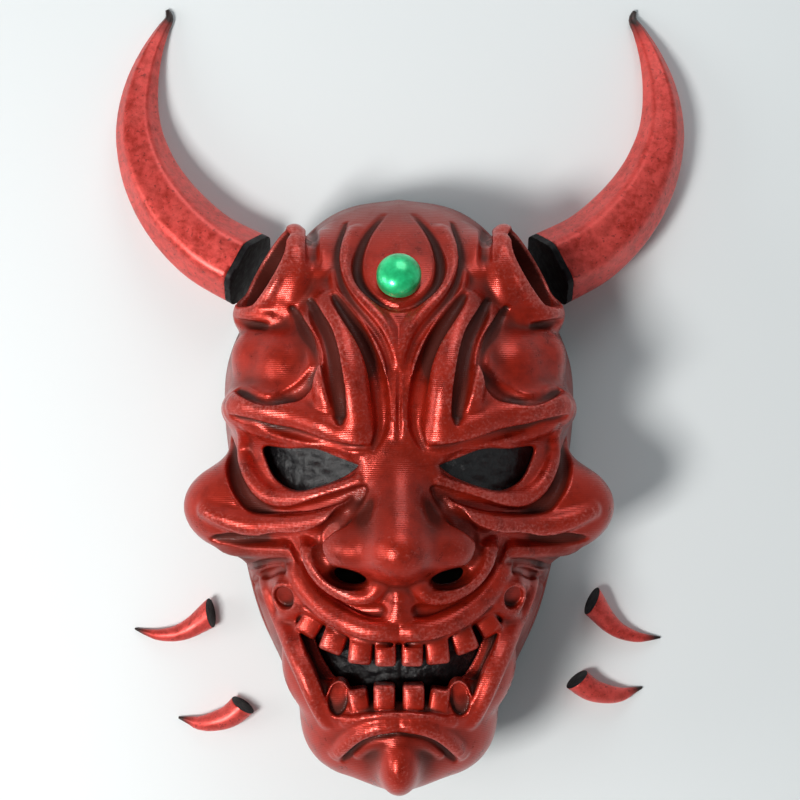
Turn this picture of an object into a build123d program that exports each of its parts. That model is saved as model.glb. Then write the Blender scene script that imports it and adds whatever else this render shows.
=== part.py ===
from build123d import *
import math
import os

# A horned demon mask laid out on a table before it is put together: the carved shell lies on its
# rim, face up, with its two horns and four fangs loose beside it.
#
# Frame: millimetres. +Z points up from the table, +Y from the chin to the crown, +X to the viewer's
# right when looking down on the face. The shapes below are drawn with x = 0 on the mask's middle
# line; LAYOUT_SHIFT then puts the middle of the whole layout on the origin.

# ---------------------------------------------------------------- driving dimensions
# Dome of the shell
DOME_HEIGHT = 86.0            # rim to the top of the plain dome, without nose and brow
DOME_CENTRE_Y = -20.0         # the dome's sections shrink towards this line
DOME_ROUNDNESS = 2.5          # superellipse exponent along the height
DOME_SQUARENESS = 2.3         # superellipse exponent across
WALL = 4.5                    # shell thickness
SECTION_SHARES = (1.0, 0.985, 0.94, 0.86, 0.74, 0.58, 0.38, 0.15)   # of the rim, rim to top

# Features that stand out of the plain dome: (centre, half lengths, turn about X)
MIDDLE_FORMS = {
    "nose": ((0, -53, 82), (17, 16, 24), 0),
    "bridge": ((0, -30, 78), (11, 36, 14), -10),
    "muzzle": ((0, -97, 56), (44, 33, 27), 0),
    "jaw": ((0, -119, 48), (34, 24, 27), 0),
    "chin": ((0, -134, 61), (8.5, 12, 15), 0),
}
# and those on the +X side, which have a twin on the other
SIDE_FORMS = {
    "nostril wing": ((18, -55, 74), (11, 10, 16), 0),
    "inner brow": ((21, 1, 61), (17, 24, 28), 0),
    "outer brow": ((43, -1, 53), (24, 14, 24), 0),
    "temple": ((42, 15, 64), (9.5, 9.5, 11), 0),
    "cheekbone": ((56, -40, 44), (26, 20, 20), 0),
}

# Half of the rim's outline, crown to chin, on the +X side
RIM_HALF = (
    (0, 80), (19, 77), (32, 70), (43, 58), (52, 44), (62, 30), (68, 14), (69, -4), (67, -24),
    (65, -42), (61, -62), (55, -84), (46, -104), (38, -124), (27, -138), (14, -146), (0, -149),
)

LAYOUT_SHIFT = -2.4

# Tools that cut: how far they reach
CLEAR = 30.0                         # out past the surface they start from
ABOVE_ALL = 130.0                    # a level above the whole mask
TABLE_WIDE = 400.0                   # wider than the whole mask

# Openings, on the +X side, and the levels they are cut through from, up to ABOVE_ALL
EYE_CUT_LEVEL = 30.0
MOUTH_CUT_LEVEL = 35.0
EYE_OUTLINE = (
    (14.5, -23.5), (22.5, -20.5), (31, -17.5), (41, -17.5), (50, -17), (49, -23), (45, -29.5),
    (37.5, -33), (28.5, -31), (20, -27.5),
)
EYE_MIDDLE = (33, -25)
MOUTH_HALF = (
    (0, -86), (18, -84), (30, -77.5), (36, -75), (38.5, -80), (35.5, -89.5), (32, -97.5),
    (29, -104.5), (26, -111), (20, -115.5), (0, -116.5),
)
MOUTH_SCREEN_HALF = ((0, -76), (20, -74), (33, -68), (45, -70), (44, -90), (31, -118), (0, -124))

# Horn sockets, on the +X side
SOCKET_CENTRE = (49.5, 49.5, 47.0)   # middle of the socket's mouth
SOCKET_HEADING = 29.2                # the mouth faces this way in plan, from +X towards +Y
SOCKET_RISE = 15.0                   # and this far above the table, in degrees
SOCKET_WIDE = 17.2                   # half width of the oval pocket, level with the table
SOCKET_HIGH = 15.8                   # half height of the oval pocket
SOCKET_DEPTH = 9.0
SOCKET_LIP = 2.8                     # wall left round the pocket
SOCKET_FLOOR = 3.0                   # between the pocket and its magnet

# Disc magnets: (radius, thickness)
HORN_MAGNET = (6.0, 4.0)
FANG_MAGNET = (2.5, 2.0)
MAGNET_GAP = 0.1                     # glue gap all round a magnet

# Forehead gem: a domed stone in a flat-bottomed seat
GEM_CENTRE = (0.0, 46.5, 74.5)       # middle of the seat's mouth
GEM_TILT = 25.0                      # lean of its axis from +Z towards +Y
GEM_RADIUS = 8.3
GEM_DOME = 6.0
GEM_SEAT = 2.5                       # depth of the seat
GEM_GAP = 0.1                        # glue gap under and round the stone

# Fabric screens glued behind the eyes and the mouth
SCREEN_THICKNESS = 1.0
SCREEN_GAP = 0.1                     # glue line between shell and fabric
SCREEN_MARGIN = 6.0                  # how far an eye screen reaches past its opening
SCREEN_LEVEL = 20.0                  # a screen is cut from the lining above this level

# Horns: middle line and half width, from the base to the tip, as they lie on the +X side
HORN_STATIONS = (
    (54.9, 49.0, 16.0), (58.6, 51.5, 15.9), (75.0, 60.5, 15.3), (88.0, 73.0, 14.2),
    (97.3, 87.2, 12.4), (102.4, 101.8, 10.4), (103.6, 114.0, 8.7), (102.2, 126.5, 6.8),
    (99.0, 138.0, 4.7), (95.0, 147.3, 2.9), (92.0, 153.5, 1.2),
)
HORN_BASE = (58.6, 51.5)
HORN_HEADING = 29.0                  # the base faces back along this direction
HORN_BASE_RISE = 16.0                # and up from the table by this much
HORN_PLUG = 2.5                      # thickness of the black base plate
HORN_CORNER = 0.32                   # corner rounding as a share of the half width
RIGHT_HORN_TURN = -0.9               # the two horns don't lie quite alike

# Fangs: middle line and radius in the fang's own plane, base at 0, tip on +X, curved to -Y
UPPER_FANG = (
    (-4, 1.6, 5.9), (0, 0, 5.4), (6.5, -2.9, 4.3), (11.3, -4.5, 3.7), (16.5, -5.1, 3.0),
    (22.6, -4.2, 2.2), (26.8, -2.5, 1.4), (31.5, 0, 0.4),
)
LOWER_FANG = (
    (-4, 2.9, 4.6), (0, 0, 4.5), (6.3, -3.3, 4.3), (13.7, -4.2, 3.7), (18.9, -3.6, 2.7),
    (22.6, -1.9, 1.6), (26.7, 0, 0.4),
)
FANG_BASE_RISE = 14.0
# name: (stations, base x, base y, turn of the tip from +X, cut of the base, which side it lies on)
FANGS = {
    "fang_upper_left": (UPPER_FANG, 75.0, -84.8, -11.7, 181.0, -1),
    "fang_upper_right": (UPPER_FANG, 76.8, -80.0, -27.9, 181.0, 1),
    "fang_lower_left": (LOWER_FANG, 62.3, -121.2, -12.1, 138.0, -1),
    "fang_lower_right": (LOWER_FANG, 71.0, -111.0, -8.1, 138.0, 1),
}

# Oval seats for the fangs, on the +X side, the upper ones at the mouth's corners and the lower ones
# at the ends of the lower row: (middle of the mouth, heading in plan, rise above the table, half
# width, half height)
FANG_SEATS = {
    "upper": ((42.5, -73.0, 64.5), -48.0, 52.0, 5.4, 5.4),
    "lower": ((21.8, -109.6, 73.5), -80.0, 82.0, 4.0, 7.0),
}
SEAT_DEPTH = 2.5
SEAT_LIP = 1.3
SEAT_BACK = 7.0                      # solid behind a seat's mouth
SEAT_FLOOR = 1.0                     # between a seat and its magnet

# Teeth on the +X side: (x, y, half width, height, turn in plan)
UPPER_TEETH = (
    (4.9, -91.0, 3.9, 12.4, 0), (14.3, -90.2, 4.2, 12.6, 4), (23.8, -86.4, 4.2, 12.6, 20),
    (31.7, -80.4, 3.9, 12.8, 30),
)
LOWER_TEETH = ((5.3, -109.8, 4.0, 9.6, 0), (14.2, -110.6, 3.6, 9.2, -6))
TOOTH_DEPTH = 12.0
TOOTH_CORNER = 1.6                   # rounding of the upright edges
TOOTH_EDGE = 1.2                     # rounding round the biting face
UPPER_TOOTH_TOP = 80.0
LOWER_TOOTH_TOP = 76.0
TOOTH_FALL = 0.25                    # how fast the rows drop away from the middle line
GUM_HALVES = (
    (((0, -85.5), (17, -83.5), (33, -71)), UPPER_TOOTH_TOP),
    (((0, -116.5), (17, -115), (30, -106)), LOWER_TOOTH_TOP),
)
GUM_WIDTH = 9.0
GUM_BELOW = 4.0                      # the gum's surface lies this far under the teeth's


# ---------------------------------------------------------------- helpers
def both_sides(half):
    """A closed outline from its half on the +X side, whose first and last points lie on x = 0."""
    return list(half) + [(-x, y) for x, y in half[-2:0:-1]]


def mirrored(shape, side):
    """The shape as drawn for side 1, or its mirror image in x = 0 for side -1."""
    return shape if side > 0 else mirror(shape, about=Plane.YZ)


def heading(angle, rise):
    """Unit vector that points to angle in plan, in degrees from +X, and rise degrees upward."""
    a = math.radians(angle)
    r = math.radians(rise)
    return Vector(math.cos(a) * math.cos(r), math.sin(a) * math.cos(r), math.sin(r))


def facing_plane(centre, angle, rise):
    """Plane at centre whose normal is heading(angle, rise) and whose local X is level."""
    a = math.radians(angle)
    return Plane(origin=centre, x_dir=(-math.sin(a), math.cos(a), 0), z_dir=heading(angle, rise))


def ellipsoid(centre, radii, turn):
    """An ellipsoid of the given half lengths, turned about X and set at centre."""
    return Location(centre, (turn, 0, 0)) * scale(Sphere(1), by=radii)


def oval_prism(plane, wide, high, front, back):
    """A prism of oval section on plane, from front above it to back below it."""
    return extrude(plane.offset(front) * Ellipse(wide, high), -(front + back))


def dome_share(z, height):
    """How wide the dome is at height z, as a share of its rim."""
    return (1 - (z / height) ** DOME_ROUNDNESS) ** (1 / DOME_SQUARENESS)


def dome_level(share, height):
    """The height at which the dome is share of its rim's width."""
    return height * (1 - share ** DOME_SQUARENESS) ** (1 / DOME_ROUNDNESS)


def dome(inset):
    """The plain dome as a solid, drawn in by inset on every side."""
    height = DOME_HEIGHT - inset
    sections = []
    for share in SECTION_SHARES:
        points = []
        for x, y in both_sides(RIM_HALF):
            reach = math.hypot(x, y - DOME_CENTRE_Y)
            drawn_in = (reach - inset) / reach * share
            points.append((x * drawn_in, DOME_CENTRE_Y + (y - DOME_CENTRE_Y) * drawn_in))
        outline = Spline(*points, periodic=True)
        level = dome_level(share, height)
        sections.append(make_face(Plane.XY.offset(level) * outline))
    return loft(sections)


def opening(outline, level):
    """A straight cutter of the given outline, from level up."""
    edge = Spline(*outline, periodic=True)
    return extrude(Plane.XY.offset(level) * make_face(edge), ABOVE_ALL - level)


def beyond(plane, reach):
    """A block that covers everything within reach on the plane's front."""
    return extrude(plane * Rectangle(2 * reach, 2 * reach), reach)


def disc_magnet(plane, size, depth):
    """A disc magnet whose near face lies depth below plane."""
    radius, thickness = size
    return extrude(plane.offset(-depth) * Circle(radius), -thickness)


def magnet_pocket(plane, size, depth, run):
    """The pocket for such a magnet, which starts a gap nearer and runs on by run."""
    radius, thickness = size
    return extrude(plane.offset(-depth + MAGNET_GAP) * Circle(radius + MAGNET_GAP), -(thickness + run))


# ---------------------------------------------------------------- the shell
def socket_plane():
    """The mouth of the horn socket on the +X side."""
    return facing_plane(SOCKET_CENTRE, SOCKET_HEADING, SOCKET_RISE)


def seat_plane(which):
    """The mouth of a fang's seat on the +X side."""
    centre, angle, rise, _, _ = FANG_SEATS[which]
    return facing_plane(centre, angle, rise)


def gem_plane():
    """The mouth of the gem's seat."""
    tilt = math.radians(GEM_TILT)
    return Plane(origin=GEM_CENTRE, x_dir=(1, 0, 0), z_dir=(0, math.sin(tilt), math.cos(tilt)))


def features():
    """The solid features of the face that stand out of the plain dome, on both sides."""
    shapes = []
    for centre, radii, turn in MIDDLE_FORMS.values():
        shapes.append(ellipsoid(centre, radii, turn))
    for centre, radii, turn in SIDE_FORMS.values():
        for side in (1, -1):
            shapes.append(mirrored(ellipsoid(centre, radii, turn), side))
    return shapes


def tooth(x, y, half_width, height, turn, top):
    """One square tooth with rounded edges, standing on its back."""
    block = Box(2 * half_width, height, TOOTH_DEPTH)
    block = fillet(block.edges().filter_by(Axis.Z), TOOTH_CORNER)
    block = fillet(block.faces().sort_by(Axis.Z)[-1].edges(), TOOTH_EDGE)
    return Location((x, y, top - TOOTH_DEPTH / 2), (0, 0, turn)) * block


def teeth():
    """All the teeth, each row falling away from the middle line."""
    found = []
    for row, top in ((UPPER_TEETH, UPPER_TOOTH_TOP), (LOWER_TEETH, LOWER_TOOTH_TOP)):
        for x, y, half_width, height, turn in row:
            for side in (1, -1):
                fall = TOOTH_FALL * x
                found.append(tooth(x * side, y, half_width, height, turn * side, top - fall))
    return found


def gums():
    """Two curved bars inside the mouth that carry the teeth."""
    bars = []
    for half, top in GUM_HALVES:
        points = [(-x, y) for x, y in half[:0:-1]] + list(half)
        band = trace(Spline(*points), GUM_WIDTH)
        bars.append(extrude(Plane.XY.offset(top - GUM_BELOW) * band, -TOOTH_DEPTH))
    return bars


def horn_sockets():
    """The two bosses that hold the horns, and what is cut out of them."""
    depth = SOCKET_DEPTH + SOCKET_FLOOR
    back = depth + HORN_MAGNET[1] + SOCKET_FLOOR
    plane = socket_plane()
    boss = oval_prism(plane, SOCKET_WIDE + SOCKET_LIP, SOCKET_HIGH + SOCKET_LIP, 0, back)
    pocket = oval_prism(plane, SOCKET_WIDE, SOCKET_HIGH, CLEAR, SOCKET_DEPTH)
    pocket = pocket + magnet_pocket(plane, HORN_MAGNET, depth, MAGNET_GAP * 2)
    return [(mirrored(boss, side), mirrored(pocket, side)) for side in (1, -1)]


def fang_seats():
    """The four small bosses that hold the fangs, and what is cut out of them."""
    found = []
    for which in FANG_SEATS:
        plane = seat_plane(which)
        wide, high = FANG_SEATS[which][3:]
        boss = oval_prism(plane, wide + SEAT_LIP, high + SEAT_LIP, 0, SEAT_BACK)
        pocket = oval_prism(plane, wide, high, CLEAR, SEAT_DEPTH)
        pocket = pocket + magnet_pocket(plane, FANG_MAGNET, SEAT_DEPTH + SEAT_FLOOR, MAGNET_GAP * 2)
        found += [(mirrored(boss, side), mirrored(pocket, side)) for side in (1, -1)]
    return found


def mask_shell():
    """The carved face in one piece, hollow behind."""
    body = dome(0)
    for shape in features():
        body = body + shape
    body = body - opening(both_sides(MOUTH_HALF), MOUTH_CUT_LEVEL)
    for shape in gums() + teeth():
        body = body + shape
    for boss, pocket in fang_seats():
        body = body + boss - pocket
    body = body - dome(WALL)
    body = body - beyond(-Plane.XY, TABLE_WIDE)
    eye = opening(EYE_OUTLINE, EYE_CUT_LEVEL)
    for side in (1, -1):
        body = body - mirrored(eye, side)
    for boss, pocket in horn_sockets():
        body = body + boss - pocket
    return body - extrude(gem_plane().offset(-GEM_SEAT) * Circle(GEM_RADIUS + GEM_GAP), CLEAR)


def forehead_gem():
    """A flat-backed stone whose dome stands out of the seat."""
    base = gem_plane().offset(-GEM_SEAT + GEM_GAP)
    girdle = extrude(base * Circle(GEM_RADIUS), GEM_SEAT)
    cap = scale(Sphere(1), by=(GEM_RADIUS, GEM_RADIUS, GEM_DOME)) & beyond(Plane.XY, GEM_RADIUS)
    return girdle + base.offset(GEM_SEAT) * cap


def screen_blank():
    """A thin sheet that lines the whole cavity, from which the screens are cut."""
    outer = dome(WALL + SCREEN_GAP)
    inner = dome(WALL + SCREEN_GAP + SCREEN_THICKNESS)
    return outer - inner


def widened(outline, centre, margin):
    """An outline pushed out from centre by margin."""
    cx, cy = centre
    pushed = []
    for x, y in outline:
        reach = math.hypot(x - cx, y - cy)
        pushed.append((cx + (x - cx) * (1 + margin / reach), cy + (y - cy) * (1 + margin / reach)))
    return pushed


def eye_screen(blank):
    """The sheet behind the eye on the +X side."""
    return blank & opening(widened(EYE_OUTLINE, EYE_MIDDLE, SCREEN_MARGIN), SCREEN_LEVEL)


def mouth_screen(blank):
    """The sheet behind the mouth."""
    return blank & opening(both_sides(MOUTH_SCREEN_HALF), SCREEN_LEVEL)


# ---------------------------------------------------------------- horns and fangs
def section_plane(stations, index, half_height):
    """The upright plane across a curved cone's middle line at one station."""
    before = stations[max(index - 1, 0)]
    after = stations[min(index + 1, len(stations) - 1)]
    x, y, _ = stations[index]
    angle = math.degrees(math.atan2(after[1] - before[1], after[0] - before[0]))
    return facing_plane((x, y, half_height), angle, 0)


def horn_blank():
    """The whole horn on the +X side, six-sided with soft corners, lying on one of its flats."""
    flat = math.sqrt(3) / 2
    sections = []
    for index, (_, _, radius) in enumerate(HORN_STATIONS):
        hexagon = RegularPolygon(radius, 6)
        rounded = fillet(hexagon.vertices(), radius * HORN_CORNER)
        sections.append(section_plane(HORN_STATIONS, index, radius * flat) * rounded)
    return loft(sections)


def horn_pieces(side):
    """Horn, base plate and magnet for one side."""
    height = HORN_STATIONS[1][2] * math.sqrt(3) / 2
    base = facing_plane((*HORN_BASE, height), 180 + HORN_HEADING, HORN_BASE_RISE)
    blank = horn_blank()
    cut = base.offset(-HORN_PLUG)
    horn = blank - beyond(cut, CLEAR)
    plug = blank & beyond(cut, CLEAR) - beyond(base, CLEAR)
    horn = horn - magnet_pocket(cut, HORN_MAGNET, MAGNET_GAP, MAGNET_GAP * 2)
    magnet = disc_magnet(cut, HORN_MAGNET, MAGNET_GAP)
    placed = [mirrored(piece, side) for piece in (horn, plug, magnet)]
    if side > 0:
        about = Axis((*HORN_BASE, 0), (0, 0, 1))
        placed = [piece.rotate(about, RIGHT_HORN_TURN) for piece in placed]
    return placed


def fang_pieces(stations, x, y, turn, cut_angle, side):
    """Fang and magnet, lying on the table."""
    sections = []
    for index, (_, _, radius) in enumerate(stations):
        sections.append(section_plane(stations, index, radius) * Circle(radius))
    base = facing_plane((0, 0, stations[1][2]), cut_angle, FANG_BASE_RISE)
    fang = loft(sections) - beyond(base, CLEAR)
    fang = fang - magnet_pocket(base, FANG_MAGNET, MAGNET_GAP, MAGNET_GAP * 2)
    magnet = disc_magnet(base, FANG_MAGNET, MAGNET_GAP)
    place = Location((x, y, 0), (0, 0, turn))
    return [mirrored(place * piece, side) for piece in (fang, magnet)]


# ---------------------------------------------------------------- the assembly
def build():
    """Every node's shape, by name."""
    parts = {"mask_shell": mask_shell(), "forehead_gem": forehead_gem()}
    blank = screen_blank()
    parts["mouth_screen"] = mouth_screen(blank)
    eye = eye_screen(blank)
    socket_magnet = disc_magnet(socket_plane(), HORN_MAGNET, SOCKET_DEPTH + SOCKET_FLOOR)
    for side, word in ((-1, "left"), (1, "right")):
        parts[f"eye_screen_{word}"] = mirrored(eye, side)
        parts[f"socket_magnet_{word}"] = mirrored(socket_magnet, side)
        for which in FANG_SEATS:
            magnet = disc_magnet(seat_plane(which), FANG_MAGNET, SEAT_DEPTH + SEAT_FLOOR)
            parts[f"seat_magnet_{which}_{word}"] = mirrored(magnet, side)
        names = (f"horn_{word}", f"horn_plug_{word}", f"horn_magnet_{word}")
        parts.update(zip(names, horn_pieces(side)))
    for name, placing in FANGS.items():
        names = (name, name.replace("fang_", "fang_magnet_"))
        parts.update(zip(names, fang_pieces(*placing)))
    return parts


os.makedirs("parts", exist_ok=True)
for node, shape in build().items():
    export_step(Pos(0, LAYOUT_SHIFT, 0) * shape, f"parts/{node}.step")
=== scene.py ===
import math

import bmesh
import bpy
import numpy as np
import openvdb
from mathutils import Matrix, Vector


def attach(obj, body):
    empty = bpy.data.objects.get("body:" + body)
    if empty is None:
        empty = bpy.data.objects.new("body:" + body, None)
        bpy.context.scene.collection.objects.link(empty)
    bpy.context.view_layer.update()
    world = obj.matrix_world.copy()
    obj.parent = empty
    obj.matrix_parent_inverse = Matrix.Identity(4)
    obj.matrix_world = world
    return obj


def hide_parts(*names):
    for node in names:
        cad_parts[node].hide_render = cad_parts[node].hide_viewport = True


# A horned demon mask laid out on a table, face up on its rim, with its loose horns and fangs
# beside it. The sculpted pieces are worked out in millimetres, in the frame of the CAD before its
# layout shift (x = 0 on the mask's middle line), and then go to metres.

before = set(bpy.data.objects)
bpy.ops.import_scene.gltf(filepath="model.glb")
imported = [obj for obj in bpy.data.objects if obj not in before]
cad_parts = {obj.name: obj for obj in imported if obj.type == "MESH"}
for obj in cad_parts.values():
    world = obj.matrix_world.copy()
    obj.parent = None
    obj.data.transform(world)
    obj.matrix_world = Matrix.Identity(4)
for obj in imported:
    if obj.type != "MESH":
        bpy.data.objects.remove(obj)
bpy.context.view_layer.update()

MM = 0.001
LAYOUT_SHIFT = -2.4

# ------------ the plain shell
# The same lines as in the CAD, but for the mouth, whose lower edge arches up under the teeth.
DOME_HEIGHT = 86.0
DOME_CENTRE_Y = -20.0
DOME_ROUNDNESS = 2.5
DOME_SQUARENESS = 2.3
DOME_EVENNESS = 2.4  # makes the dome's level grow evenly from its middle outward
LEAST_SLOPE = 0.004  # this and the next keep a division and a root away from zero
LEAST_LEVEL = 1e-5
WALL = 4.5
THINNEST = 1.5  # what the deepest groove leaves of the wall
RIM_HALF = (
    (0, 80), (19, 77), (32, 70), (43, 58), (52, 44), (62, 30), (68, 14), (69, -4), (67, -24),
    (65, -42), (61, -62), (55, -84), (46, -104), (38, -124), (27, -138), (14, -146), (0, -149),
)
EYE_OUTLINE = (
    (14.5, -23.5), (22.5, -20.5), (31, -17.5), (41, -17.5), (50, -17), (49, -23), (45, -29.5),
    (37.5, -33), (28.5, -31), (20, -27.5),
)
MOUTH_HALF = (
    (0, -86), (18, -84), (30, -77.5), (36, -75), (38.5, -80), (35.5, -89.5), (32, -97.5),
    (29, -104.5), (26, -111.5), (20, -115.6), (11, -114.4), (0, -113.6),
)
SOCKET_CENTRE = (49.5, 49.5, 47.0)
SOCKET_HEADING = 29.2
SOCKET_RISE = 15.0
SOCKET_WIDE = 17.2
SOCKET_HIGH = 15.8
SOCKET_DEPTH = 9.0
SOCKET_RIM = (3.2, 3.0)  # how much wider and higher than the socket its boss is
SOCKET_RIM_BACK = 24.0
SOCKET_RIM_FRONT = 1.0
SOCKET_RIM_ROUNDING = 3.0
SOCKET_RIM_BLEND = 7.0
SOCKET_MOUTH = 30.0  # how far out the socket is cut clear
SOCKET_STEP = 2.2  # the floor's deeper middle, in from the socket's wall
SOCKET_FLOOR = 3.0  # how much shallower than the whole depth the step is
SOCKET_SKIN = 0.5
SOCKET_BACKING = (2.8, 18.0)  # wall left round the socket inside the shell, and its depth
GEM_CENTRE = (0.0, 46.5, 74.5)
GEM_TILT = 25.0
GEM_RADIUS = 8.3
GEM_SEAT = (0.8, 2.5, 10.0)  # gap round the stone, depth, and how far out it is cut clear

# ------------ clay: a volume to sculpt in
RIDGE_BLEND = 2.4  # how softly strokes run into the surface
GROOVE_BLEND = 1.0
VOXEL = 0.6
CLAY_LOW = np.array((0.0, -153.0, -3.0))
CLAY_HIGH = np.array((86.0, 84.0, 111.0))
BALL_MARGIN = 2.0  # how far past a form its part of the grid reaches
ROD_MARGIN = 1.0
PRISM_MARGIN = 4.0
STROKE_END_WIDTH = 0.6  # share of a stroke's width that its ends keep, whatever the taper
OUTLINE_STEP = 1.5
FAR = 1e3
TINY = 1e-9  # keeps a division away from zero


def smooth_least(a, b, soft):
    """The lesser of two fields, blended over a distance."""
    blend = np.clip(0.5 + 0.5 * (b - a) / soft, 0, 1)
    return b + (a - b) * blend - soft * blend * (1 - blend)


def turned(x, y, angle):
    """Plan coordinates turned about Z, in degrees."""
    c, s = math.cos(math.radians(angle)), math.sin(math.radians(angle))
    return x * c - y * s, x * s + y * c


def curve_through(points, step=2.0):
    """Points along a smooth curve through the given ones (Catmull-Rom), about step apart."""
    pts = np.asarray(points, float)
    if len(pts) < 3:
        ends = np.linspace(0, 1, max(2, int(np.linalg.norm(pts[-1] - pts[0]) / step)))
        return pts[0] + (pts[-1] - pts[0]) * ends[:, None]
    padded = np.vstack((2 * pts[0] - pts[1], pts, 2 * pts[-1] - pts[-2]))
    out = []
    for a, b, c, d in zip(padded, padded[1:], padded[2:], padded[3:]):
        count = max(2, int(np.linalg.norm(c[:2] - b[:2]) / step))
        for t in np.linspace(0, 1, count, endpoint=False):
            out.append(0.5 * (2 * b + (c - a) * t + (2 * a - 5 * b + 4 * c - d) * t ** 2
                              + (3 * b - a - 3 * c + d) * t ** 3))
    out.append(pts[-1])
    return np.array(out)


def closed_curve(outline, step):
    """The same round a closed outline, with the first point again at the end."""
    ring = np.array(outline, float)
    return curve_through(np.vstack((ring, ring[:1])), step)


def steadied(rows, rounds=3):
    """Rows with each one drawn to the mean of its neighbours a few times; the ends stay."""
    rows = np.array(rows, float)
    for _ in range(rounds):
        rows[1:-1] = 0.5 * rows[1:-1] + 0.25 * (rows[:-2] + rows[2:])
    return rows


class Clay:
    """Signed distance on a grid: negative inside. Only the +X half is kept."""

    def __init__(self):
        self.axes = [np.arange(lo, hi + VOXEL, VOXEL) for lo, hi in zip(CLAY_LOW, CLAY_HIGH)]
        self.x = self.axes[0][:, None, None].astype(np.float32)
        self.y = self.axes[1][None, :, None].astype(np.float32)
        self.z = self.axes[2][None, None, :].astype(np.float32)
        self.field = None

    def window(self, low, high):
        """Slices of the grid that cover a box."""
        cuts = []
        for lo, hi, ax in zip(low, high, self.axes):
            a = max(int(math.floor((lo - ax[0]) / VOXEL)), 0)
            b = min(int(math.ceil((hi - ax[0]) / VOXEL)) + 1, len(ax))
            cuts.append(slice(a, b))
        return tuple(cuts)

    def coordinates(self, cuts):
        """The grid's x, y and z in a window."""
        return self.x[cuts[0]], self.y[:, cuts[1]], self.z[:, :, cuts[2]]

    def merge(self, cuts, shape, soft, cut):
        """Adds a shape to the clay in a window, or cuts it away, blended over soft."""
        part = self.field[cuts]
        if cut:
            self.field[cuts] = -smooth_least(-part, shape, soft)
        else:
            self.field[cuts] = smooth_least(part, shape, soft)

    def ball(self, centre, radii, soft, cut=False, turn=0.0):
        """An ellipsoid; turn is about Z, in degrees."""
        reach = max(radii) + soft + BALL_MARGIN
        cuts = self.window(np.subtract(centre, reach), np.add(centre, reach))
        x, y, z = self.coordinates(cuts)
        x, y, z = x - centre[0], y - centre[1], z - centre[2]
        x, y = turned(x, y, -turn)
        k0 = np.sqrt((x / radii[0]) ** 2 + (y / radii[1]) ** 2 + (z / radii[2]) ** 2)
        k1 = np.sqrt((x / radii[0] ** 2) ** 2 + (y / radii[1] ** 2) ** 2 + (z / radii[2] ** 2) ** 2)
        self.merge(cuts, k0 * (k0 - 1) / np.maximum(k1, 1e-6), soft, cut)

    def rod(self, points, radii, soft=1.5, cut=False):
        """A chain of round-ended cones through points in space."""
        points = np.asarray(points, float)
        radii = np.asarray(radii, float)
        reach = radii.max() + soft + ROD_MARGIN
        cuts = self.window(points.min(0) - reach, points.max(0) + reach)
        shape = np.full([s.stop - s.start for s in cuts], reach * 2, np.float32)
        for a, b, ra, rb in zip(points, points[1:], radii, radii[1:]):
            pad = max(ra, rb) + soft + ROD_MARGIN
            own = self.window(np.minimum(a, b) - pad, np.maximum(a, b) + pad)
            x, y, z = self.coordinates(own)
            d = b - a
            along = ((x - a[0]) * d[0] + (y - a[1]) * d[1] + (z - a[2]) * d[2]) / (d @ d + TINY)
            along = np.clip(along, 0, 1)
            away = np.sqrt((x - a[0] - along * d[0]) ** 2 + (y - a[1] - along * d[1]) ** 2
                           + (z - a[2] - along * d[2]) ** 2)
            inner = tuple(slice(o.start - c.start, o.stop - c.start) for o, c in zip(own, cuts))
            shape[inner] = np.minimum(shape[inner], away - ra - along * (rb - ra))
        self.merge(cuts, shape, soft, cut)

    def sample(self, points):
        """Field and its outward gradient at points."""
        points = np.atleast_2d(points)
        gradient = np.zeros_like(points)
        values = self.interpolate(points)
        for k in range(3):
            shift = np.zeros(3)
            shift[k] = 1.2 * VOXEL
            gradient[:, k] = self.interpolate(points + shift) - self.interpolate(points - shift)
        return values, gradient / (np.linalg.norm(gradient, axis=1, keepdims=True) + TINY)

    def interpolate(self, points, field=None):
        """The field, or another one on the same grid, at points on either side."""
        field = self.field if field is None else field
        at = (np.abs(points * (1, 0, 0)) + points * (0, 1, 1) - [ax[0] for ax in self.axes]) / VOXEL
        at = np.clip(at, 0, np.array(field.shape) - 1.001)
        low = at.astype(int)
        part = at - low
        total = np.zeros(len(points))
        for i in (0, 1):
            for j in (0, 1):
                for k in (0, 1):
                    weight = (np.abs(1 - i - part[:, 0]) * np.abs(1 - j - part[:, 1])
                              * np.abs(1 - k - part[:, 2]))
                    total += weight * field[low[:, 0] + i, low[:, 1] + j, low[:, 2] + k]
        return total

    def settle(self, points):
        """Drops plan points onto the surface from above, and gives its direction there."""
        out = []
        for p in points:
            i = int(round((p[0] - self.axes[0][0]) / VOXEL))
            j = int(round((p[1] - self.axes[1][0]) / VOXEL))
            column = self.field[min(max(i, 0), self.field.shape[0] - 1), j]
            inside = np.nonzero(column < 0)[0]
            out.append((p[0], p[1], self.axes[2][inside[-1]] if len(inside) else 0.0))
        out = np.array(out, float)
        for _ in range(3):
            value, normal = self.sample(out)
            keep = out[:, :2].copy()
            out = out - value[:, None] * normal
            out[:, :2] = 0.5 * (out[:, :2] + keep)
        value, normal = self.sample(out)
        return out - value[:, None] * normal, normal

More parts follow.
